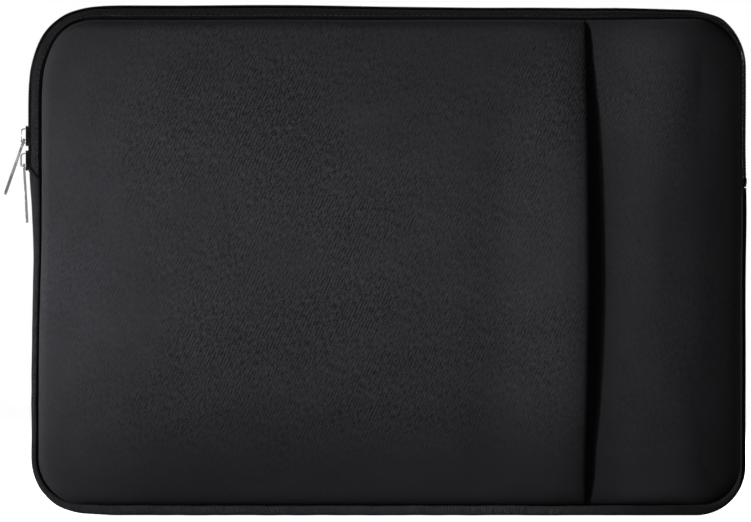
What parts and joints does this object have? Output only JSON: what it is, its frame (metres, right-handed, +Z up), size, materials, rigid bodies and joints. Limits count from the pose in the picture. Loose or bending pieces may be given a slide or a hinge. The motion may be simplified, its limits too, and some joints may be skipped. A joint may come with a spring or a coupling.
{
  "type": "laptop sleeve",
  "caption": "Padded laptop sleeve with a zip over the top, a slip pocket on the front, a fold-open upper front and swinging metal pull tabs on the zip sliders",
  "frame": {"origin": "the middle of the flat foot of the bottom gusset, which the sleeve stands on", "axes": "+X to the right seen from the front, +Y through the sleeve from front to back, +Z up"},
  "size_m": [0.3971, 0.0325, 0.2722],
  "materials": {
    "neoprene": "matt black neoprene with a fine woven face",
    "foam": "dark padding foam",
    "plush": "soft short-pile black lining",
    "tape": "black woven polyester tape",
    "coil": "black nylon",
    "nickel": "polished nickel plate"
  },
  "bodies": {
    "sleeve": {"back_shell": "neoprene", "back_foam": "foam", "back_lining": "plush", "front_shell_lower": "neoprene", "front_foam_lower": "foam", "front_lining_lower": "plush", "pocket_panel_lower": "neoprene", "gusset_shell": "neoprene", "gusset_lining": "plush", "seam_binding_back": "tape", "seam_binding_front_lower": "tape", "zip_tape_back": "tape", "zip_tape_front_left": "tape", "zip_tape_front_right": "tape", "zip_coil_back": "coil", "zip_coil_front_left": "coil", "zip_coil_front_right": "coil", "zip_stop_right": "coil"},
    "flap": {"front_shell_flap": "neoprene", "front_foam_flap": "foam", "front_lining_flap": "plush", "pocket_panel_flap": "neoprene", "seam_binding_front_flap": "tape", "zip_tape_front_flap": "tape", "zip_coil_front_flap": "coil"},
    "lower_slider": {"lower_slider_body": "nickel", "lower_slider_bridge": "nickel"},
    "upper_slider": {"upper_slider_body": "nickel", "upper_slider_bridge": "nickel"},
    "lower_pull": {"lower_pull_tab": "nickel"},
    "upper_pull": {"upper_pull_tab": "nickel"}
  },
  "joints": [
    {"name": "flap_fold", "type": "hinge", "parent": "sleeve", "child": "flap", "pos_m": [0, -0.02, 0.212], "axis": [1, 0, 0], "range_deg": [0, 90], "stiffness_Nm_per_rad": 0.02},
    {"name": "lower_slider_slide", "type": "slide", "parent": "sleeve", "child": "lower_slider", "axis": [0, 0, 1], "range_m": [0, 0.013]},
    {"name": "upper_slider_slide", "type": "slide", "parent": "lower_slider", "child": "upper_slider", "axis": [0, 0, 1], "range_m": [0, 0.017]},
    {"name": "lower_pull_swing", "type": "hinge", "parent": "lower_slider", "child": "lower_pull", "pos_m": [-0.1948, 0.0007, 0.1873], "axis": [0, 0.9986, 0.0523], "range_deg": [0, 110]},
    {"name": "upper_pull_swing", "type": "hinge", "parent": "upper_slider", "child": "upper_pull", "pos_m": [-0.1948, -0.00038, 0.2005], "axis": [0, 0.9848, -0.1736], "range_deg": [0, 105]}
  ]
}
